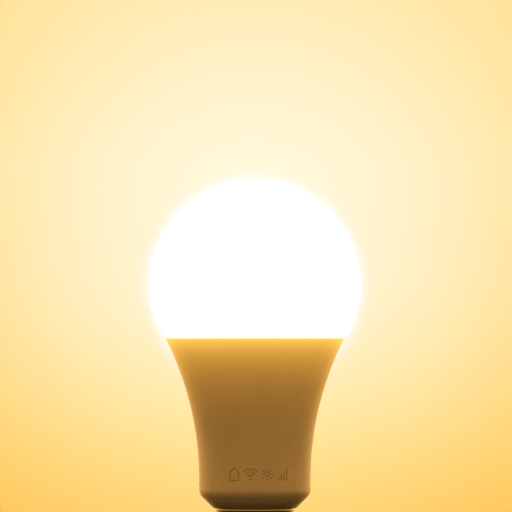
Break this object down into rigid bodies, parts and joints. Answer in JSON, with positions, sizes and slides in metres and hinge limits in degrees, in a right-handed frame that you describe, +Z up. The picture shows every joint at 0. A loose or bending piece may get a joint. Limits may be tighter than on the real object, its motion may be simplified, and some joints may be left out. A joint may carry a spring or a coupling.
{
  "type": "smart light bulb",
  "caption": "Globe-shaped smart LED light bulb: glowing opal globe, flared plastic housing and E27 screw cap, with its lamp board, wireless module and driver inside.",
  "frame": {"origin": "centre of the cap contact's flat end face, which is the bulb's lowest point and lies on its axis", "axes": "+Z up along the bulb's axis, from the screw cap to the globe; -Y is the front, where the printed icons are; +X to the right seen from the front"},
  "size_m": [0.075, 0.075, 0.144],
  "materials": {
    "opal_globe": "opal, lit from inside, fine satin",
    "silicone": "cured, satin",
    "housing_plastic": "fine satin moulded, warm white",
    "heat_sink": "drawn, brushed",
    "thermal_pad": "matte",
    "lamp_board": "white solder mask on aluminium",
    "warm_led": "phosphor gel in a white package",
    "cool_led": "phosphor gel in a white package",
    "colour_led": "clear gel in a white package",
    "screw_steel": "zinc plated",
    "contact_brass": "plated, light wear",
    "connector_plastic": "moulded",
    "module_board": "blue solder mask",
    "shield_steel": "tinned sheet",
    "black_plastic": "moulded epoxy",
    "sleeve_plastic": "natural moulded",
    "driver_board": "green solder mask",
    "resistor_coat": "cement coat with colour bands",
    "varistor_coat": "dipped epoxy",
    "capacitor_sleeve": "shrink sleeve, bare aluminium top",
    "copper_winding": "enamelled wire and tape",
    "ferrite": "sintered, dull",
    "film_capacitor_box": "moulded box",
    "cap_nickel": "nickel plated, rolled",
    "cap_insulator": "moulded black",
    "lead_red": "PVC",
    "lead_black": "PVC"
  },
  "bodies": {
    "root": {"diffuser_dome": "opal_globe", "sealant_ring": "silicone", "housing_shell": "housing_plastic", "heat_sink_cup": "heat_sink", "thermal_pad": "thermal_pad", "lamp_board": "lamp_board", "warm_led_1": "warm_led", "cool_led_1": "cool_led", "warm_led_2": "warm_led", "cool_led_2": "cool_led", "warm_led_3": "warm_led", "cool_led_3": "cool_led", "warm_led_4": "warm_led", "cool_led_4": "cool_led", "warm_led_5": "warm_led", "cool_led_5": "cool_led", "warm_led_6": "warm_led", "cool_led_6": "cool_led", "warm_led_7": "warm_led", "cool_led_7": "cool_led", "warm_led_8": "warm_led", "cool_led_8": "cool_led", "colour_led_1": "colour_led", "colour_led_2": "colour_led", "colour_led_3": "colour_led", "colour_led_4": "colour_led", "lamp_board_screw_1": "screw_steel", "lamp_board_screw_2": "screw_steel", "lamp_board_screw_3": "screw_steel", "driver_pin_strip": "contact_brass", "lamp_board_socket": "connector_plastic", "wifi_board": "module_board", "wifi_shield_can": "shield_steel", "wifi_header": "black_plastic", "driver_sleeve": "sleeve_plastic", "driver_board": "driver_board", "fusible_resistor": "resistor_coat", "varistor": "varistor_coat", "bulk_capacitor": "capacitor_sleeve", "supply_capacitor": "capacitor_sleeve", "output_capacitor": "capacitor_sleeve", "line_choke": "copper_winding", "transformer_core": "ferrite", "transformer_bobbin": "copper_winding", "film_capacitor": "film_capacitor_box", "driver_chip": "black_plastic", "bridge_rectifier": "black_plastic", "supply_chip": "black_plastic", "supply_inductor": "ferrite", "cap_shell": "cap_nickel", "cap_insulator": "cap_insulator", "centre_contact": "contact_brass", "live_lead": "lead_red", "neutral_lead": "lead_black"}
  },
  "joints": []
}
